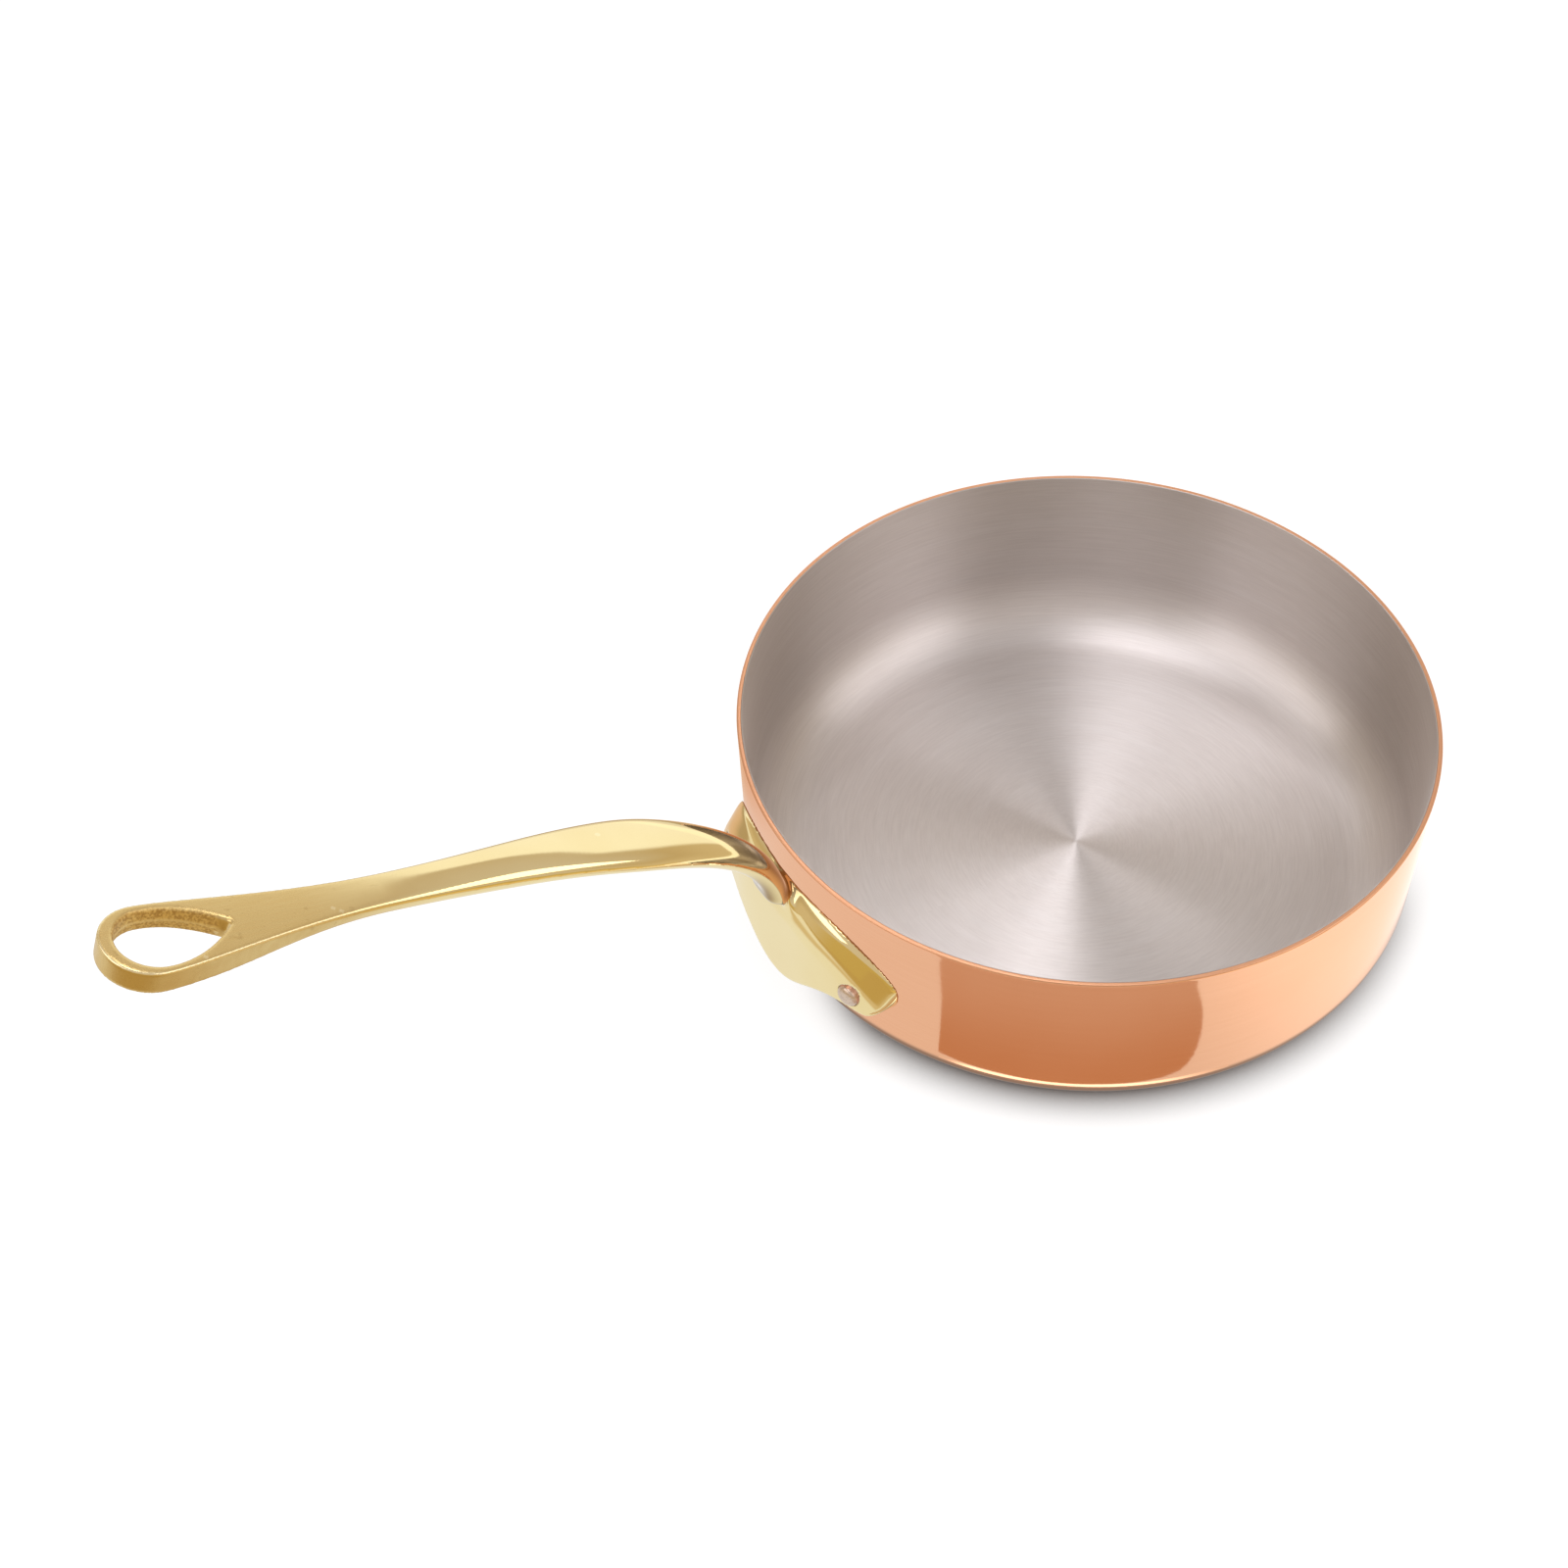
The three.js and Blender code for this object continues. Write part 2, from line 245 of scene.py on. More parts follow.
def at_rivet(points, side):
    """Turns points made about Z so that they stand out square from the wall at a rivet."""
    radius = wall_radius(RIVET_HEIGHT)
    angle = math.asin(RIVET_ACROSS / radius)
    outward = Vector((-math.cos(angle), side * math.sin(angle), -math.tan(WALL_TAPER))).normalized()
    turn = np.array(Vector((0, 0, 1)).rotation_difference(outward).to_matrix())
    place = np.array([-radius * math.cos(angle), side * radius * math.sin(angle), RIVET_HEIGHT])
    return np.asarray(points) @ turn.T + place


def rivet_shape(side):
    """A low domed head inside the pan, a shank, and an end that stands proud of the wing."""
    wall = wall_radius(RIVET_HEIGHT)
    sag = wall - math.sqrt(wall**2 - RIVET_HEAD_RADIUS**2)
    seat = -WALL_THICK - sag - RIVET_HEAD_GAP
    end = WING_THICK + RIVET_PROUD
    profile = [(0, seat - RIVET_HEAD_HEIGHT)]
    for step in range(1, 13):
        angle = step / 12 * math.pi / 2
        rise = (RIVET_HEAD_HEIGHT - RIVET_HEAD_RIM) * math.cos(angle)
        profile.append((RIVET_HEAD_RADIUS * math.sin(angle), seat - RIVET_HEAD_RIM - rise))
    profile += [(RIVET_HEAD_RADIUS, seat - RIVET_BEVEL), (RIVET_HEAD_RADIUS - RIVET_BEVEL, seat)]
    profile += [(RIVET_RADIUS + RIVET_BEVEL, seat), (RIVET_RADIUS, seat + RIVET_BEVEL)]
    straight = end - RIVET_DOME
    profile += [(RIVET_RADIUS, mix(seat, straight, share)) for share in (0.3, 0.7, 0.95)]
    for step in range(11):
        angle = step / 10 * math.pi / 2
        round_off = RIVET_RADIUS * max(math.cos(angle), 0) ** RIVET_DOME_POWER
        profile.append((round_off, straight + RIVET_DOME * math.sin(angle)))
    verts, faces = turned(profile, 64)
    return at_rivet(verts, side), faces


def cut_rivet_holes(piece):
    """Cuts both rivet holes out of a piece."""
    for side in (-1, 1):
        radius = RIVET_RADIUS + RIVET_FIT
        profile = [(0, -CUTTER_HALF), (radius, -CUTTER_HALF), (radius, CUTTER_HALF), (0, CUTTER_HALF)]
        verts, faces = turned(profile, 48)
        mesh = bpy.data.meshes.new("cutter")
        mesh.from_pydata((at_rivet(verts, side) * MM).tolist(), [], faces)
        cutter = bpy.data.objects.new("cutter", mesh)
        bpy.context.scene.collection.objects.link(cutter)
        hole = piece.modifiers.new("hole", "BOOLEAN")
        hole.operation = "DIFFERENCE"
        hole.solver = "EXACT"
        hole.object = cutter
        bpy.context.view_layer.update()
        graph = bpy.context.evaluated_depsgraph_get()
        cut = bpy.data.meshes.new_from_object(piece.evaluated_get(graph))
        piece.modifiers.clear()
        piece.data = cut
        bpy.data.objects.remove(cutter)


# The handle is a field of distances on a lattice, negative inside, with a mesh drawn through its zero


def spine():
    """Places along the middle of the bar's top face, with the direction at each."""
    down = np.array([math.cos(ROOT_SLOPE), math.sin(ROOT_SLOPE)])
    out = np.array([math.cos(BAR_SLOPE), math.sin(BAR_SLOPE)])
    start = [ROOT - down * reach for reach in np.linspace(SPINE_BEFORE, SPINE_GAP, 30)]
    neck = bezier([ROOT, ROOT + down * ROOT_PULL, STRAIGHT - out * STRAIGHT_PULL, STRAIGHT], 260)
    bar = [STRAIGHT + out * reach for reach in np.linspace(SPINE_GAP, SPINE_AFTER, 260)]
    places = np.vstack([start, neck, bar])
    tangents = np.gradient(places, axis=0)
    return places, tangents / np.linalg.norm(tangents, axis=1, keepdims=True)


def along_and_off(along, up):
    """For points of the upright plane: how far along the bar they are, and how far off its top face."""
    places, tangents = spine()
    points = np.stack([along.ravel(), up.ravel()], 1)
    station = np.empty(len(points))
    off = np.empty(len(points))
    for first in range(0, len(points), CHUNK):
        chunk = slice(first, first + CHUNK)
        part = points[chunk]
        gap = ((part[:, None, :] - places[None]) ** 2).sum(2)
        nearest = gap.argmin(1)
        step = part - places[nearest]
        tangent = tangents[nearest]
        ahead = (step * tangent).sum(1)
        station[chunk] = places[nearest, 0] + ahead * tangent[:, 0]
        off[chunk] = tangent[:, 0] * step[:, 1] - tangent[:, 1] * step[:, 0]
    return station.reshape(along.shape), off.reshape(along.shape)


def half_width(station):
    """Half the bar's width: it swells at the neck, narrows to the waist and widens to the ring."""
    waist = mix(NECK_ALONG, WAIST_ALONG, np.array([0, 0.17, 0.62, 1]))
    ring = mix(WAIST_ALONG, RING_ALONG, np.array([0, 0.46, 0.82, 1]))
    narrowing = bezier(list(zip(waist, (NECK_HALF, NECK_HALF, WAIST_HALF, WAIST_HALF))), 60)
    widening = bezier(list(zip(ring, (WAIST_HALF, WAIST_HALF, RING_RADIUS, RING_RADIUS))), 60)
    curve = np.vstack([narrowing, widening[1:]])
    near_root = mix(ROOT_HALF, NECK_HALF, smoothstep(station, ROOT[0], NECK_ALONG))
    return np.where(station < NECK_ALONG, near_root, np.interp(station, curve[:, 0], curve[:, 1]))


def thickness(station):
    """The bar's thickness along its middle."""
    ring_start = RING_ALONG - RING_RADIUS
    neck = mix(ROOT_THICK, NECK_THICK, smoothstep(station, ROOT[0], NECK_ALONG))
    waist = mix(neck, WAIST_THICK, smoothstep(station, NECK_ALONG, WAIST_ALONG))
    return mix(waist, RING_THICK, smoothstep(station, WAIST_ALONG, ring_start))


def polygon_distance(across, up, outline):
    """Distance of points from a closed outline, negative inside."""
    points = np.stack([across.ravel(), up.ravel()], 1)
    best = np.full(len(points), 1e9)
    inside = np.zeros(len(points), bool)
    for a, b in zip(outline, np.roll(outline, -1, axis=0)):
        edge = b - a
        step = points - a
        share = np.clip((step @ edge) / (edge @ edge), 0, 1)
        best = np.minimum(best, ((step - share[:, None] * edge) ** 2).sum(1))
        crosses = (a[1] > points[:, 1]) != (b[1] > points[:, 1])
        if edge[1] != 0:
            inside ^= crosses & (step[:, 0] < step[:, 1] * edge[0] / edge[1])
    return (np.sqrt(best) * np.where(inside, -1, 1)).reshape(across.shape)


def plate_outline():
    """The plate seen from the front, as points of [across, up]."""
    reach = WING_REACH
    level = WING_REACH - WING_TIP_LENGTH
    crest = (mix(TOP_FLAT, reach, CREST_SHARE), PLATE_TOP + CREST_RISE)
    shoulder = [(TOP_FLAT / 3, PLATE_TOP), crest, (reach, WING_TIP + WING_TIP_ROUND), (reach, WING_TIP)]
    wing = [(reach, WING_TIP), (reach, WING_LOW), (mix(level, reach, 0.5), WING_LOW), (level, WING_LOW)]
    lobe = [(level, WING_LOW), (level / 2, WING_LOW), (LOBE_WIDTH, LOBE_LOW), (0, LOBE_LOW)]
    half = np.vstack([bezier(shoulder, 24), bezier(wing, 24)[1:], bezier(lobe, 30)[1:]])
    return np.vstack([half, (half * [-1, 1])[-2::-1]])


def bar_section(station, across):
    """How far out a place is, the bar's half width there, and the height of its top face."""
    wide = half_width(station)
    past = np.maximum(station - RING_ALONG, 0) / math.cos(BAR_SLOPE)
    side = np.sqrt(across**2 + past**2)
    from_root = smoothstep(station, ROOT[0], NECK_ALONG)
    to_ring = 1 - smoothstep(station, STRAIGHT[0], RING_ALONG)
    neck_crown = mix(ROOT_CROWN, NECK_CROWN, from_root)
    crown = mix(neck_crown, RING_CROWN, smoothstep(station, CROWN_FROM, CROWN_TO))
    top = NECK_LIFT * from_root * to_ring + crown * (1 - np.clip(side / wide, 0, PAST_SIDE) ** 2)
    return side, wide, top


def bar_field(station, off, across):
    """The bar with its round end, a belly under the neck and flat under the ring."""
    side, wide, top = bar_section(station, across)
    share = np.clip(side / wide, 0, PAST_SIDE)
    ring_start = RING_ALONG - RING_RADIUS
    belly = mix(NECK_BELLY, RING_BELLY, smoothstep(station, WAIST_ALONG, ring_start))
    bottom = -thickness(station) * (1 - belly * share**4)
    slab = np.maximum(off - top, bottom - off)
    edge = mix(NECK_EDGE, RING_EDGE, smoothstep(station, NECK_ALONG, ring_start))
    return smooth_max(slab, side - wide, edge)


def hole_field(station, off, across):
    """The teardrop, a little narrower at half depth as a casting is."""
    reach = (station - HOLE_ALONG) / math.cos(BAR_SLOPE)
    radius = HOLE_RADIUS - HOLE_TIP_ROUND
    tip = HOLE_TIP - HOLE_TIP_ROUND
    shares = np.linspace(0, 1, 40)
    flank = np.stack([-tip * shares, radius * (1 - shares**2)], 1)
    angles = np.linspace(math.pi / 2, -math.pi / 2, 60)[1:-1]
    round_end = np.stack([radius * np.cos(angles), radius * np.sin(angles)], 1)
    outline = np.vstack([flank[::-1], round_end, flank * [1, -1]])[:-1]
    middle = 1 - np.clip(np.abs(2 * off / RING_THICK + 1), 0, 1)
    return polygon_distance(reach, across, outline) - HOLE_TIP_ROUND + HOLE_DRAFT * middle


def plate_field(along, across, up):
    """The plate: a face that follows the wall, and a facet that falls from it to the upper edge."""
    across, up = np.meshgrid(across, up, indexing="ij")
    rim = polygon_distance(across, up, plate_outline())
    wing_radius = wall_radius(RIVET_HEIGHT) + WING_THICK
    wing = np.sqrt(np.maximum(wing_radius**2 - across**2, 1))
    front = smooth_min(wing, np.full_like(wing, PLATE_REACH), FRONT_SOFT)
    fall = FACET_LEAN * (up - FACET_FOOT) + FACET_BEND * (np.abs(across) ** 3 - FACET_FROM**3)
    face = smooth_min(front, PLATE_REACH - fall, FACET_SOFT)
    slopes = np.gradient(face, LATTICE)
    lean = 1 / np.sqrt(1 + slopes[0] ** 2 + slopes[1] ** 2)
    upper_edge = mix(TOP_EDGE, SHOULDER_EDGE, smoothstep(np.abs(across), TOP_FLAT, RIVET_ACROSS))
    edge = mix(LOW_EDGE, upper_edge, smoothstep(up, WING_LOW, WING_TIP))
    return smooth_max((along - face) * lean, np.broadcast_to(rim, (len(along), *rim.shape)), edge)


def rivet_hole_field(grid, side):
    """A rivet's hole through the plate, positive inside."""
    foot, tip = at_rivet([(0, 0, 0), (0, 0, 1)], side)
    step = grid - foot
    reach = step @ (tip - foot)
    distance = np.sqrt(np.maximum((step**2).sum(-1) - reach**2, 0))
    return RIVET_RADIUS + RIVET_FIT - distance


def plate_block(along, across, up, station, off):
    """The plate and the bar's root in one casting, hollowed to the pan's wall and drilled for the rivets."""
    bar = bar_field(station, off, across[None, :, None])
    bar = smooth_max(bar, np.broadcast_to(PLATE_TOP - ROOT_DEPTH - up, bar.shape), ROOT_SOFT)
    plate = plate_field(along[:, None, None], across, up)
    joined = smooth_min(plate, bar, FILLET)
    from_axis = np.sqrt(along[:, None, None] ** 2 + across[None, :, None] ** 2)
    back = (wall_radius(up) + PLATE_GAP - from_axis) * math.cos(WALL_TAPER)
    joined = smooth_max(joined, back, BACK_EDGE)
    grid = np.stack(np.meshgrid(-along, across, up, indexing="ij"), -1)
    for side in (-1, 1):
        joined = smooth_max(joined, rivet_hole_field(grid, side), RIVET_HOLE_EDGE)
    return joined


def bar_block(across, station, off):
    """The bar with its hanging hole, and how far each place is from the hole's wall."""
    full = np.broadcast_arrays(station, off, across[None, :, None])
    hole = np.full(full[0].shape, NO_HOLE)
    close = np.abs(full[0] - HOLE_ALONG) < HOLE_MARGIN
    hole[close] = hole_field(*(part[close] for part in full))
    bar = bar_field(station, off, across[None, :, None])
    return smooth_max(bar, -hole, HOLE_EDGE), np.abs(hole)


def handle_field():
    """The handle's distances, and those from the hole's wall, on the lattice of along, across and up."""
    axes = [np.arange(low, high + LATTICE / 2, LATTICE) for low, high in zip(LOW_CORNER, HIGH_CORNER)]
    field = np.full([len(axis) for axis in axes], OUTSIDE, np.float32)
    cast = np.full(field.shape, OUTSIDE, np.float32)
    along, across, up = axes
    split = int(round((JOIN - LOW_CORNER[0]) / LATTICE))
    station, off = (m[:, None, :] for m in along_and_off(*np.meshgrid(along, up, indexing="ij")))

    low = up < PLATE_BLOCK_TOP
    near = (slice(0, split), slice(None), low)
    field[near] = plate_block(along[:split], across, up[low], station[near], off[near])

    beside = np.abs(across) <= BAR_SIDE
    above = up >= BAR_LOW
    far = np.ix_(np.arange(split, len(along)), np.flatnonzero(beside), np.flatnonzero(above))
    far_station = station[split:][:, :, above]
    far_off = off[split:][:, :, above]
    field[far], cast[far] = bar_block(across[beside], far_station, far_off)
    return field, cast


def sample(field, points):
    """The field at points given in lattice steps, blended between the lattice's values."""
    base = np.clip(np.floor(points).astype(int), 0, np.array(field.shape) - 2)
    part = points - base
    total = np.zeros(len(points))
    for corner in np.ndindex(2, 2, 2):
        weight = np.prod(np.where(corner, part, 1 - part), axis=1)
        total += weight * field[tuple((base + corner).T)]
    return total


def net_points(field, where):
    """One point in each cell that the zero runs through: the mean of the crossings on its edges."""
    total = np.zeros((len(where), 3))
    count = np.zeros(len(where))
    for axis in range(3):
        others = [i for i in range(3) if i != axis]
        for sides in np.ndindex(2, 2):
            corner = np.zeros(3, int)
            corner[others] = sides
            start = field[tuple((where + corner).T)]
            corner_end = corner.copy()
            corner_end[axis] = 1
            end = field[tuple((where + corner_end).T)]
            crossed = (start < 0) != (end < 0)
            share = np.where(crossed, start / np.where(crossed, start - end, 1), 0)
            place = np.tile(corner.astype(float), (len(where), 1))
            place[:, axis] = share
            total[crossed] += place[crossed]
            count[crossed] += 1
    return where + total / count[:, None]


def net_faces(inside, number):
    """One four-sided face round each edge of the lattice that the zero crosses."""
    faces = []
    for axis in range(3):
        first, second = [(1, 2), (2, 0), (0, 1)][axis]
        low = [slice(None)] * 3
        high = [slice(None)] * 3
        low[axis] = slice(0, -1)
        high[axis] = slice(1, None)
        starts = inside[tuple(low)]
        change = np.argwhere(starts != inside[tuple(high)])
        flip = starts[tuple(change.T)]
        corners = []
        for step_first, step_second in ((-1, -1), (0, -1), (0, 0), (-1, 0)):
            cell = change.copy()
            cell[:, first] += step_first
            cell[:, second] += step_second
            corners.append(number[tuple(cell.T)])
        quads = np.stack(corners, 1)
        quads[~flip] = quads[~flip][:, ::-1]
        faces.append(quads)
    return np.vstack(faces)


def surface_net(field):
    """A closed mesh of four-sided faces through the field's zero, in lattice steps."""
    inside = field < 0
    cells = tuple(n - 1 for n in field.shape)
    corner_count = np.zeros(cells, np.uint8)
    for corner in np.ndindex(2, 2, 2):
        corner_count += inside[tuple(slice(c, c + n) for c, n in zip(corner, cells))]
    active = (corner_count > 0) & (corner_count < 8)
    number = np.full(cells, -1, np.int64)
    number[active] = np.arange(active.sum())
    return net_points(field, np.argwhere(active)), net_faces(inside, number)


def settle(field, verts, faces):
    """Evens out a mesh along the field's zero, and puts each point on it."""
    pairs = np.vstack([faces[:, [i, (i + 1) % 4]] for i in range(4)])
    links = np.bincount(pairs[:, 0], minlength=len(verts)).astype(float)
    steps = np.eye(3) * SLOPE_REACH
    for turn in range(SETTLE_ROUNDS):
        if turn < SETTLE_ROUNDS - 1:
            sums = [np.bincount(pairs[:, 0], verts[pairs[:, 1], i], len(verts)) for i in range(3)]
            verts = mix(verts, np.stack(sums, 1) / links[:, None], SETTLE_SHARE)
        for _ in range(2):
            value = sample(field, verts)
            rises = [sample(field, verts + step) - sample(field, verts - step) for step in steps]
            slope = np.stack(rises, 1) / (2 * SLOPE_REACH)
            verts = verts - slope * (value / np.maximum((slope**2).sum(1), SLOPE_LEAST))[:, None]
    return verts


def make_handle(material):
    """The brass casting, marked where it has rough skin and the parting line, and with its distance from the
    bar's top edges, for a painted highlight.
    """
    field, cast = handle_field()
    verts, faces = surface_net(field)
    verts = settle(field, verts, faces)
    near_hole = sample(cast, verts)
    placed = verts * LATTICE + LOW_CORNER
    station, off = along_and_off(placed[:, 0], placed[:, 2])
    hole_start = HOLE_ALONG - HOLE_TIP
    in_hole = 1 - smoothstep(near_hole, *SKIN_FADE)
    parting = in_hole * (1 - smoothstep(np.abs(off + RING_THICK / 2), *PARTING_FADE))
    in_hole *= smoothstep(station, hole_start + SKIN_FROM, hole_start + SKIN_FULL)
    placed[:, 0] *= -1
    piece = make_piece("brass_handle", placed, faces[:, ::-1], material, "handle")
    side, wide, top = bar_section(station, placed[:, 1])
    from_edge = np.maximum(wide - side, top - off)
    for name, values in (("cast_wall", in_hole), ("parting_line", parting), ("from_edge", from_edge)):
        marks = piece.data.attributes.new(name, "FLOAT", "POINT")
        marks.data.foreach_set("value", values.astype(np.float32))
    return piece


# Materials. Lengths from here on are in metres


class Shader:
    """A material or world made of nodes, with a short way to add and join them."""

    def __init__(self, owner):
        owner.use_nodes = True
        self.tree = owner.node_tree
        self.tree.nodes.clear()

    def add(self, kind, inputs=None, **settings):
        made = self.tree.nodes.new(kind)
        for key, value in settings.items():
            setattr(made, key, value)
        for key, value in (inputs or {}).items():
            if isinstance(value, bpy.types.NodeSocket):
                self.tree.links.new(value, made.inputs[key])
            else:
                made.inputs[key].default_value = value
        return made

    def math(self, operation, *values, clamp=False):
        inputs = dict(enumerate(values))
        return self.add("ShaderNodeMath", inputs, operation=operation, use_clamp=clamp).outputs[0]

    def length(self, first, second):
        """The long side of a right triangle."""
        squares = [self.math("MULTIPLY", side, side) for side in (first, second)]
        return self.math("SQRT", self.math("ADD", *squares))

    def noise(self, vector, scale, detail=3.0, roughness=0.5):
        inputs = {"Vector": vector, "Scale": scale, "Detail": detail, "Roughness": roughness}
        return self.add("ShaderNodeTexNoise", inputs).outputs["Fac"]

    def between(self, value, low, high, to_low=0.0, to_high=1.0):
        """A smooth step from one value to another as the input goes from low to high."""
        inputs = {"Value": value, "From Min": low, "From Max": high, "To Min": to_low, "To Max": to_high}
        made = self.add("ShaderNodeMapRange", inputs, interpolation_type="SMOOTHSTEP")
        return made.outputs["Result"]

    def blend(self, share, first, second, kind="MIX"):
        made = self.add("ShaderNodeMix", {"Factor": share}, data_type="RGBA", blend_type=kind)
        for slot, value in ((6, first), (7, second)):
            if isinstance(value, bpy.types.NodeSocket):
                self.tree.links.new(value, made.inputs[slot])
            else:
                made.inputs[slot].default_value = (*value, 1)
        return made.outputs[2]

    def bump(self, height, strength, distance, under=None):
        inputs = {"Height": height, "Strength": strength, "Distance": distance}
        if under is not None:
            inputs["Normal"] = under
        return self.add("ShaderNodeBump", inputs).outputs["Normal"]

    def place(self):
        return self.add("ShaderNodeTexCoord").outputs["Object"]

    def split(self, vector):
        return self.add("ShaderNodeSeparateXYZ", {"Vector": vector}).outputs

    def join(self, x, y, z):
        return self.add("ShaderNodeCombineXYZ", {"X": x, "Y": y, "Z": z}).outputs[0]

    def attribute(self, name):
        return self.add("ShaderNodeAttribute", attribute_name=name).outputs["Fac"]

    def pointiness(self):
        return self.add("ShaderNodeNewGeometry").outputs["Pointiness"]

    def openness(self, reach):
        """1 on open surfaces, less in corners and under things within reach."""
        return self.add("ShaderNodeAmbientOcclusion", {"Distance": reach}, samples=16).outputs["AO"]

    def metal(self, colour, rough, normal):
        inputs = {"Base Color": colour, "Metallic": 1.0, "Roughness": rough, "Normal": normal}
        return self.add("ShaderNodeBsdfPrincipled", inputs)

    def glow(self, colour, strength):
        return self.add("ShaderNodeEmission", {"Color": colour, "Strength": strength})

    def finish_surface(self, shader):
        self.add("ShaderNodeOutputMaterial", {"Surface": shader.outputs[0]})


def new_material(name):
    made = bpy.data.materials.new(name)
    return made, Shader(made)


def turned_places(s):
    """The angle round the axis, the way along the profile and the height: how marks of a lathe run."""
    x, y, z = s.split(s.place())
    radius = s.length(x, y)
    return s.math("ARCTAN2", y, x), s.math("ADD", radius, z), z


def streaks(s, profile, angle, across, around, detail, roughness=0.5):
    """Noise drawn out round the axis, with its scale across the streaks and around."""
    drawn_out = s.join(s.math("MULTIPLY", profile, across), s.math("MULTIPLY", angle, around), 0.0)
    return s.noise(drawn_out, 1.0, detail, roughness)


COPPER_DEEP, COPPER_PALE = (0.86, 0.455, 0.265), (0.90, 0.495, 0.305)
COPPER_LINE, COPPER_RIM = (0.93, 0.54, 0.34), (0.78, 0.41, 0.24)
COPPER_GRAZING = (1.0, 0.92, 0.85, 1)
RIM_LOW, RIM_HIGH = (PAN_HEIGHT - 0.55) * MM, (PAN_HEIGHT - 0.15) * MM


def copper_material():
    """Polished, with faint lines of the lathe, soft smears and a duller edge at the rim."""
    made, s = new_material("polished_copper")
    angle, profile, height = turned_places(s)
    place = s.place()
    lines = streaks(s, profile, angle, across=1800, around=2.0, detail=4.0)
    cloud = s.noise(place, 9.0, 4.0)
    fine = s.noise(place, 900.0, 2.0)
    rim = s.between(height, RIM_LOW, RIM_HIGH)
    polished = s.blend(s.between(cloud, 0.3, 0.7), COPPER_DEEP, COPPER_PALE)
    toned = s.blend(s.between(lines, 0.35, 0.7, 0.0, 0.18), polished, COPPER_LINE)
    colour = s.blend(rim, toned, COPPER_RIM)
    smear = s.math("MULTIPLY_ADD", s.between(cloud, 0.35, 0.75), 0.04, 0.08)
    wear_and_sheen = s.math("MULTIPLY_ADD", s.between(lines, 0.45, 0.75), 0.03, smear)
    rough = s.math("MULTIPLY_ADD", rim, 0.24, wear_and_sheen)
    wave = s.bump(cloud, 0.05, 0.002)
    grain = s.bump(s.math("ADD", lines, fine), 0.03, 0.0002, wave)
    shader = s.metal(colour, rough, grain)
    shader.inputs["Specular Tint"].default_value = COPPER_GRAZING
    s.finish_surface(shader)
    return made


STEEL_DEEP, STEEL_PALE = (0.75, 0.70, 0.68), (0.79, 0.745, 0.725)
STEEL_LINE, STEEL_BROAD = (0.63, 0.585, 0.57), (0.83, 0.80, 0.79)
STEEL_WALL_SHADE = (0.86, 0.855, 0.85)
STEEL_FLOOR_END, STEEL_WALL_START = 0.003, 0.022


def steel_material():
    """Brushed round the axis, which stretches its highlights. The wall is painted darker than the floor:
    painted shade.
    """
    made, s = new_material("brushed_steel_lining")
    angle, profile, height = turned_places(s)
    broad = streaks(s, profile, angle, across=260, around=1.5, detail=3.0)
    lines = streaks(s, profile, angle, across=1400, around=5.0, detail=4.0, roughness=0.7)
    hairs = streaks(s, profile, angle, across=3600, around=14.0, detail=2.0)
    cloud = s.noise(s.place(), 14.0, 3.0)
    base = s.blend(s.between(cloud, 0.3, 0.7), STEEL_DEEP, STEEL_PALE)
    lined = s.blend(s.between(lines, 0.3, 0.7, 0.0, 0.35), base, STEEL_LINE)
    floor = s.blend(s.between(broad, 0.4, 0.75, 0.0, 0.25), lined, STEEL_BROAD)
    # painted shade: the wall and its corner darker than the floor
    wall = s.blend(1.0, floor, STEEL_WALL_SHADE, "MULTIPLY")
    colour = s.blend(s.between(height, STEEL_FLOOR_END, STEEL_WALL_START), floor, wall)
    rough = s.math("MULTIPLY_ADD", lines, 0.12, s.math("MULTIPLY_ADD", broad, 0.06, 0.29))
    grain = s.bump(s.math("ADD", lines, hairs), 0.10, 0.0002)
    tangent = s.add("ShaderNodeTangent", direction_type="RADIAL", axis="Z").outputs[0]
    shader = s.metal(colour, rough, grain)
    s.tree.links.new(tangent, shader.inputs["Tangent"])
    shader.inputs["Anisotropic"].default_value = 0.97
    shader.inputs["Anisotropic Rotation"].default_value = 0.25
    s.finish_surface(shader)
    return made


BRASS_DEEP, BRASS_PALE = (0.86, 0.70, 0.355), (0.90, 0.76, 0.42)
BRASS_SATIN, BRASS_PIT = (0.69, 0.50, 0.205), (0.45, 0.30, 0.11)
BRASS_SKIN_DARK, BRASS_SKIN_LIGHT = (0.52, 0.33, 0.11), (0.80, 0.58, 0.22)
BRASS_PARTING_HIGHLIGHT, BRASS_EDGE_SHEEN_AND_WEAR = (0.92, 0.74, 0.36), (0.97, 0.86, 0.55)
BRASS_PAINTED_SHADE = (0.24, 0.13, 0.045)
SATIN_FROM, SATIN_FULL = -0.200, -0.245
ROOT_SHADE_FROM, ROOT_SHADE_FULL = -0.122, -0.108
ROOT_SHADE_SIDE, ROOT_SHADE_MIDDLE = 0.0072, 0.0045
ROOT_SHADE_LOW, ROOT_SHADE_HIGH = 0.041, 0.047
CREVICE_SHADE_REACH = 0.012


def brass_edge_sheen_and_wear(s, satin):
    """Where edges are lighter: a painted highlight along the top edges of the satin ring, and wear on sharp
    edges.
    """
    wear_and_sheen = s.math("MULTIPLY", satin, s.between(s.attribute("from_edge"), 0.80, 0.20, 0.0, 0.75))
    sharp = s.between(s.pointiness(), 0.52, 0.60, 0.0, 0.45)
    return s.math("MAXIMUM", wear_and_sheen, sharp)


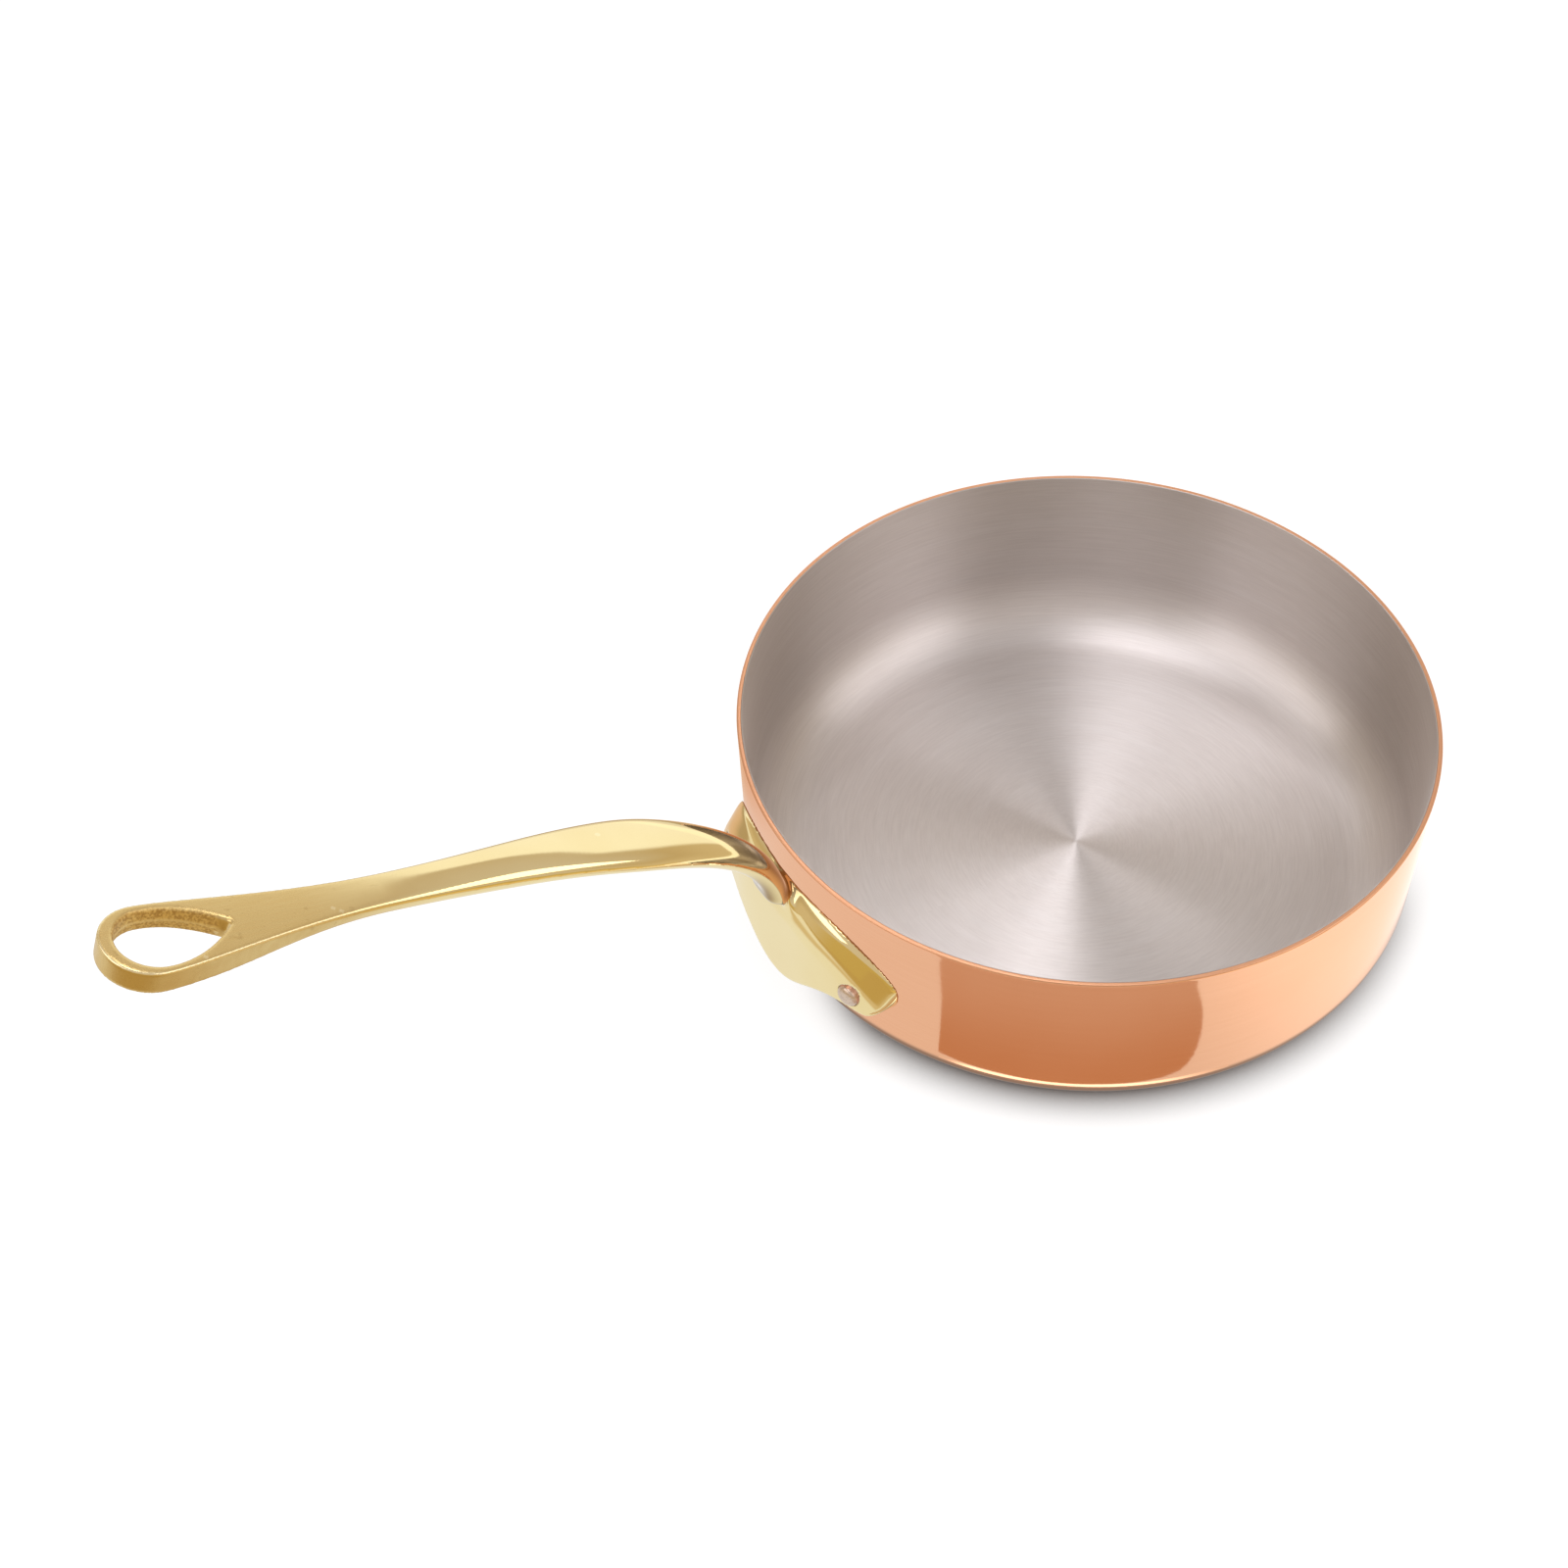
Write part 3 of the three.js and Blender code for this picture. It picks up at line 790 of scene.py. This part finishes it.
def brass_painted_shade(s, x, y, z):
    """Painted shade, dark brown: on the neck's root close to the pan, and in narrow places that ambient
    occlusion finds.
    """
    across = s.between(s.math("ABSOLUTE", y), ROOT_SHADE_SIDE, ROOT_SHADE_MIDDLE)
    on_neck = s.math("MULTIPLY", across, s.between(z, ROOT_SHADE_LOW, ROOT_SHADE_HIGH))
    root_shade = s.math("MULTIPLY", on_neck, s.between(x, ROOT_SHADE_FROM, ROOT_SHADE_FULL, 0.0, 0.82))
    return s.math("MAXIMUM", root_shade, s.between(s.openness(CREVICE_SHADE_REACH), 0.74, 0.36, 0.0, 0.85))


def brass_material():
    """Polished at the plate and neck, satin at the ring, and rough inside the hanging hole."""
    made, s = new_material("cast_brass")
    place = s.place()
    x, y, z = s.split(place)
    cast = s.attribute("cast_wall")
    parting = s.attribute("parting_line")
    satin = s.between(x, SATIN_FROM, SATIN_FULL)
    cloud = s.noise(place, 22.0, 4.0)
    specks = s.noise(place, 420.0, 3.0, 0.6)
    grit = s.noise(place, 1500.0, 2.0)
    drawn_out = s.join(s.math("MULTIPLY", x, 60), s.math("MULTIPLY", y, 2600), s.math("MULTIPLY", z, 300))
    strokes = s.noise(drawn_out, 1.0, 3.0)

    clean = s.blend(s.between(cloud, 0.3, 0.7), BRASS_DEEP, BRASS_PALE)
    dulled = s.math("MULTIPLY", satin, s.between(strokes, 0.35, 0.7, 0.86, 1.0))
    toned = s.blend(dulled, clean, BRASS_SATIN)
    pits = s.math("MULTIPLY", s.between(specks, 0.62, 0.72), satin)
    pitted = s.blend(s.math("MULTIPLY", pits, 0.35), toned, BRASS_PIT)
    skin = s.blend(s.between(grit, 0.35, 0.65), BRASS_SKIN_DARK, BRASS_SKIN_LIGHT)
    # painted highlight along the parting line inside the hole
    walled = s.blend(cast, pitted, s.blend(s.math("MULTIPLY", parting, 0.7), skin, BRASS_PARTING_HIGHLIGHT))
    # painted highlight along the satin ring's top edges, and wear on sharp edges
    edge_lit = s.blend(brass_edge_sheen_and_wear(s, satin), walled, BRASS_EDGE_SHEEN_AND_WEAR)
    # painted shade, dark brown, on the neck's root by the pan and in narrow places
    colour = s.blend(brass_painted_shade(s, x, y, z), edge_lit, BRASS_PAINTED_SHADE)

    smooth = s.math("MULTIPLY_ADD", s.between(cloud, 0.3, 0.75), 0.03, 0.055)
    satin_rough = s.math("MULTIPLY_ADD", satin, s.math("MULTIPLY_ADD", strokes, 0.10, 0.15), smooth)
    rough = s.math("MULTIPLY_ADD", cast, 0.22, satin_rough)
    wave = s.bump(cloud, 0.08, 0.001)
    brushed = s.bump(strokes, s.math("MULTIPLY", satin, 0.006), 0.0002, wave)
    sanding = s.math("MULTIPLY_ADD", cast, 0.5, 0.0006)
    sanded = s.bump(s.math("ADD", specks, grit), sanding, 0.0004, brushed)
    s.finish_surface(s.metal(colour, rough, sanded))
    return made


RIVET_WARM, RIVET_PALE = (0.56, 0.42, 0.32), (0.70, 0.56, 0.45)
RIVET_DIRT, RIVET_WORN = (0.30, 0.225, 0.175), (0.78, 0.69, 0.62)


def rivet_material():
    """Hammered steel with dirt in its pits and a brighter edge."""
    made, s = new_material("rivet_steel")
    place = s.place()
    cloud = s.noise(place, 160.0, 4.0)
    specks = s.noise(place, 1400.0, 3.0, 0.6)
    edges = s.between(s.pointiness(), 0.52, 0.62)
    base = s.blend(s.between(cloud, 0.3, 0.7), RIVET_WARM, RIVET_PALE)
    dirty = s.blend(s.between(specks, 0.5, 0.75, 0.0, 0.5), base, RIVET_DIRT)
    colour = s.blend(s.math("MULTIPLY", edges, 0.5), dirty, RIVET_WORN)
    rough = s.math("MULTIPLY_ADD", cloud, 0.2, 0.22)
    grain = s.bump(s.math("ADD", cloud, specks), 0.12, 0.0003)
    s.finish_surface(s.metal(colour, rough, grain))
    return made


def make_pan():
    """The copper body and its lining, both drilled for the rivets."""
    copper_corner = CORNER_RADIUS - COPPER_THICK
    verts, faces = pan_layer(0, COPPER_THICK, copper_corner, RIM_ROUND, COPPER_INNER_ROUND)
    copper = make_piece("copper_body", verts, faces, copper_material(), "copper_shell")
    lining_from = COPPER_THICK + BOND_GAP
    verts, faces = pan_layer(lining_from, WALL_THICK, INNER_CORNER, LINING_OUTER_ROUND, LINING_INNER_ROUND)
    lining = make_piece("lining", verts, faces, steel_material(), "steel_lining")
    cut_rivet_holes(copper)
    cut_rivet_holes(lining)


def make_rivets():
    """The two rivets, near and far."""
    steel = rivet_material()
    rivets = []
    for name, side in (("near", -1), ("far", 1)):
        verts, faces = rivet_shape(side)
        rivets.append(make_piece("rivet_stud_" + name, verts, faces, steel, "rivet_" + name))
    return rivets


# The photograph's copper mirrors no handle, so handle and rivets are left out of reflections
make_pan()
for fitting in [make_handle(brass_material()), *make_rivets()]:
    fitting.visible_glossy = False


# Studio: a pale floor, soft boxes, and cards that only mirrors see


def studio(right, away, up):
    """A place given as the camera sees it, in metres from the pan's middle."""
    turn, side = math.cos(VIEW_TURN), math.sin(VIEW_TURN)
    return Vector((right * turn + away * side, away * turn - right * side, up))


def stage_mesh(name, corners, material):
    """One flat face that isn't part of the object."""
    mesh = bpy.data.meshes.new(name)
    mesh.from_pydata(corners, [], [list(range(len(corners)))])
    made = bpy.data.objects.new(name, mesh)
    bpy.context.scene.collection.objects.link(made)
    mesh.materials.append(material)
    return made


def right_and_away(s, vector):
    """How far a vector reaches to the right and away, by the studio's directions."""
    ways = (studio(1, 0, 0), studio(0, 1, 0))
    dots = [s.add("ShaderNodeVectorMath", {0: vector, 1: way}, operation="DOT_PRODUCT") for way in ways]
    return [dot.outputs["Value"] for dot in dots]


FLOOR_HALF, FLOOR_UP = 6.0, -0.0002
FLOOR_GREY, FLOOR_PALE = (0.20, 0.20, 0.20), (0.21, 0.21, 0.21)
SHADOW_REACH = 0.012
WHITE = (1, 1, 1)
TABLE_TAN, TABLE_NEAR_TAN = (0.56, 0.44, 0.29), (0.80, 0.66, 0.46)
TABLE_CREAM, TABLE_GOLD = (1.0, 0.97, 0.92), (0.64, 0.46, 0.19)
PATCH_WARM = (0.87, 0.61, 0.42)
BAR_ASIDE, BAR_NEARER = 0.06, 0.10


def floor_seen(s, right, away, path):
    """White to the eye, with a painted shadow of the pan in front of it, darkest where ambient occlusion is.
    """
    shade = s.blend(s.noise(s.place(), 3.0, 2.0), FLOOR_GREY, FLOOR_PALE)
    lit = s.add("ShaderNodeBsdfDiffuse", {"Color": shade})
    # painted shadow, kept to the front of the pan
    front = s.math("MULTIPLY", s.between(right, -0.085, -0.060), s.between(away, 0.0, -0.035))
    closed = s.math("SUBTRACT", 1.0, s.math("POWER", s.openness(SHADOW_REACH), 1.4))
    depth = s.math("MULTIPLY", s.math("POWER", closed, 1.9), 1.2, clamp=True)
    shaded = s.math("MULTIPLY", front, depth)
    strength = s.math("MULTIPLY", path["Is Camera Ray"], s.math("MULTIPLY_ADD", shaded, -0.86, 0.88))
    lift = s.glow((*WHITE, 1), strength)
    return s.add("ShaderNodeAddShader", {0: lit.outputs[0], 1: lift.outputs[0]})


def floor_mirrored(s, right, away):
    """In mirrors, a lit patch round the pan and under the bar, painted shade under the pan's foot, on a
    duller table.
    """
    from_pan = s.length(right, away)
    from_bar = s.length(s.math("ADD", right, BAR_ASIDE), s.math("ADD", away, BAR_NEARER))
    # painted shade under the pan's foot, seen where the copper foot mirrors it
    under = s.between(from_pan, 0.0965, 0.1025, 0.34, 1.0)
    bright = s.between(right, 0.02, 0.1, 0.92, 1.28)
    tan = s.blend(s.between(away, 0.02, -0.05), TABLE_TAN, TABLE_NEAR_TAN)
    distant = s.blend(s.between(away, -0.18, -0.35), TABLE_CREAM, TABLE_GOLD)
    dull = s.blend(s.between(from_pan, 0.26, 0.38), tan, distant)
    patch = s.blend(s.between(right, -0.10, -0.03), PATCH_WARM, WHITE)
    round_pan = s.blend(s.between(from_pan, 0.13, 0.19), patch, dull)
    table = s.blend(s.between(from_bar, 0.14, 0.10), round_pan, WHITE)
    return s.glow(table, s.math("MULTIPLY", under, bright))


def floor_material():
    made, s = new_material("pale_floor")
    path = s.add("ShaderNodeLightPath").outputs
    right, away = right_and_away(s, s.place())
    seen = floor_seen(s, right, away, path)
    mirrored = floor_mirrored(s, right, away)
    mirror = s.math("MAXIMUM", path["Is Glossy Ray"], path["Is Transmission Ray"])
    s.finish_surface(s.add("ShaderNodeMixShader", {0: mirror, 1: seen.outputs[0], 2: mirrored.outputs[0]}))
    return made


CARD_UP = 0.0004
CARD_RED, CARD_DULL = (0.62, 0.38, 0.23), (0.71, 0.57, 0.47)
GLINT_INNER, GLINT_OUTER = 0.0995, 0.1025
GLINT_COLOUR = (1.0, 0.97, 0.93, 1)


def card_material():
    """A glowing card that only mirrors see, darker and redder close to the pan as painted shade."""
    made, s = new_material("warm_card")
    from_pan = s.length(*right_and_away(s, s.place()))
    mottle = s.math("MULTIPLY_ADD", s.noise(s.place(), 40.0, 2.0), 0.008, from_pan)
    # painted shade: darker and redder close to the pan
    shade = s.blend(s.between(mottle, 0.104, 0.150), CARD_RED, CARD_DULL)
    s.finish_surface(s.glow(shade, 1.0))
    return made


def card_outline():
    """The warm card as points of [right, away]: near side, rounded right corner and side along the pan."""
    near_side = [(-0.085, -0.122), (-0.085, -0.152), (0.050, -0.152)]
    corner = bezier([(0.0465, -0.118), (0.0457, -0.1125), (0.0375, -0.1030), (0.028, -0.1020)], 8)
    pan_side = [(0.018, -0.1025), (0.0, -0.1030), (-0.03, -0.099)]
    left_corner = [(-0.050, -0.0920), (-0.063, -0.1040), (-0.073, -0.1105)]
    return near_side + corner.tolist() + pan_side + left_corner


def glint_material():
    """A bright strip at the pan's foot that fades out at its ends."""
    made, s = new_material("bright_strip")
    right = right_and_away(s, s.place())[0]
    middle = s.math("MULTIPLY", s.between(right, -0.046, -0.036), s.between(right, 0.040, 0.010))
    s.finish_surface(s.glow(GLINT_COLOUR, s.math("MULTIPLY_ADD", middle, 1.5, 0.95)))
    return made


def glint_outline():
    """A strip that follows the pan's foot, as points of [right, away]."""
    angles = [math.radians(a) for a in range(-28, 25, 2)]
    inner = [(GLINT_INNER * math.sin(a), -GLINT_INNER * math.cos(a)) for a in angles]
    outer = [(GLINT_OUTER * math.sin(a), -GLINT_OUTER * math.cos(a)) for a in reversed(angles)]
    return inner + outer


def make_stage():
    """The floor, and the two cards close above it."""
    ends = (-FLOOR_HALF, FLOOR_HALF)
    corners = [(ends[i], ends[j], FLOOR_UP) for i, j in ((0, 0), (1, 0), (1, 1), (0, 1))]
    stage_mesh("floor", corners, floor_material())
    cards = (("card", card_outline(), card_material()), ("glint", glint_outline(), glint_material()))
    for name, outline, material in cards:
        card = stage_mesh(name, [studio(right, away, CARD_UP) for right, away in outline], material)
        card.visible_camera = False
        card.visible_diffuse = False
        card.visible_shadow = False


COOL_WHITE, ROSE_WHITE = (0.97, 0.96, 1.0), (0.99, 0.97, 1.0)
LIGHT_AIM = Vector((-0.05, 0, 0.03))


def soft_box(name, place, aim, width, depth, radiance, tint):
    light = bpy.data.lights.new(name, "AREA")
    light.shape = "RECTANGLE"
    light.size = width
    light.size_y = depth
    light.energy = radiance * math.pi * width * depth
    light.color = tint
    made = bpy.data.objects.new(name, light)
    facing = (aim - place).normalized()
    across = facing.cross(studio(0, 1, 0)).normalized()
    made.matrix_world = Matrix((across, across.cross(facing), -facing)).transposed().to_4x4()
    made.location = place
    bpy.context.scene.collection.objects.link(made)


def make_lights():
    """Two boxes that look straight down, over the pan and behind it, and a large one on each side."""
    soft_box("top_box", studio(-0.14, 0.17, 1.7), studio(-0.14, 0.17, 0), 0.46, 0.8, 2.9, COOL_WHITE)
    soft_box("far_strip", studio(-0.09, 1.15, 1.7), studio(-0.09, 1.15, 0), 0.17, 0.55, 5.0, COOL_WHITE)
    soft_box("left_box", studio(-1.32, -0.40, 1.22), LIGHT_AIM, 0.8, 1.8, 1.25, ROSE_WHITE)
    soft_box("right_box", studio(1.4, -0.40, 1.4), LIGHT_AIM, 0.8, 1.8, 1.42, ROSE_WHITE)


# The room that mirrors see: its tones by the sine of the height above the horizon
ROOM_TONES = [
    (0.0, (0.70, 0.58, 0.42)),
    (0.13, (0.69, 0.57, 0.41)),
    (0.32, (0.60, 0.48, 0.32)),
    (0.64, (0.66, 0.59, 0.53)),
    (1.0, (0.70, 0.68, 0.68)),
]
FRONT_TONE, FRONT_LOW_TONE = (0.70, 0.63, 0.58), (0.62, 0.46, 0.18)
WINDOW_TONE = (1.12, 1.12, 1.12)
ROOM_LIGHT = (0.72, 0.72, 0.72)


def room_ramp(w, rise):
    ramp = w.add("ShaderNodeValToRGB", {"Fac": rise})
    stops = ramp.color_ramp.elements
    while len(stops) < len(ROOM_TONES):
        stops.new(0.5)
    for stop, (height, tone) in zip(stops, ROOM_TONES):
        stop.position = height
        stop.color = (*tone, 1)
    return ramp.outputs["Color"]


def make_world():
    """White to the eye, an even light on everything, and to mirrors a room with a bright far wall."""
    world = bpy.data.worlds.new("studio")
    bpy.context.scene.world = world
    w = Shader(world)
    path = w.add("ShaderNodeLightPath").outputs
    heading = w.add("ShaderNodeTexCoord").outputs["Generated"]
    rise = w.split(heading)[2]
    right, away = right_and_away(w, heading)
    turn = w.math("ABSOLUTE", w.math("ARCTAN2", right, away))
    behind = w.math("MULTIPLY", w.between(turn, 0.60, 0.54), w.between(rise, 0.52, 0.475))
    front = w.blend(w.between(rise, 0.22, 0.12), FRONT_TONE, FRONT_LOW_TONE)
    sides = w.blend(w.between(away, -0.15, -0.6), room_ramp(w, rise), front)
    room = w.blend(behind, sides, WINDOW_TONE)
    mirrored = w.blend(path["Is Glossy Ray"], ROOM_LIGHT, room)
    seen = w.blend(path["Is Camera Ray"], mirrored, WHITE)
    background = w.add("ShaderNodeBackground", {"Color": seen, "Strength": 1.0})
    w.add("ShaderNodeOutputWorld", {"Surface": background.outputs[0]})


def make_camera():
    data = bpy.data.cameras.new("camera")
    data.lens = LENS
    data.sensor_width = SENSOR
    data.clip_start = CLIP_START
    camera = bpy.data.objects.new("camera", data)
    camera.location = CAMERA_PLACE
    camera.rotation_euler = Vector(CAMERA_AIM).to_track_quat("-Z", "Y").to_euler()
    bpy.context.scene.collection.objects.link(camera)
    bpy.context.scene.camera = camera


make_stage()
make_lights()
make_world()
make_camera()
bpy.context.scene.view_settings.view_transform = "Standard"
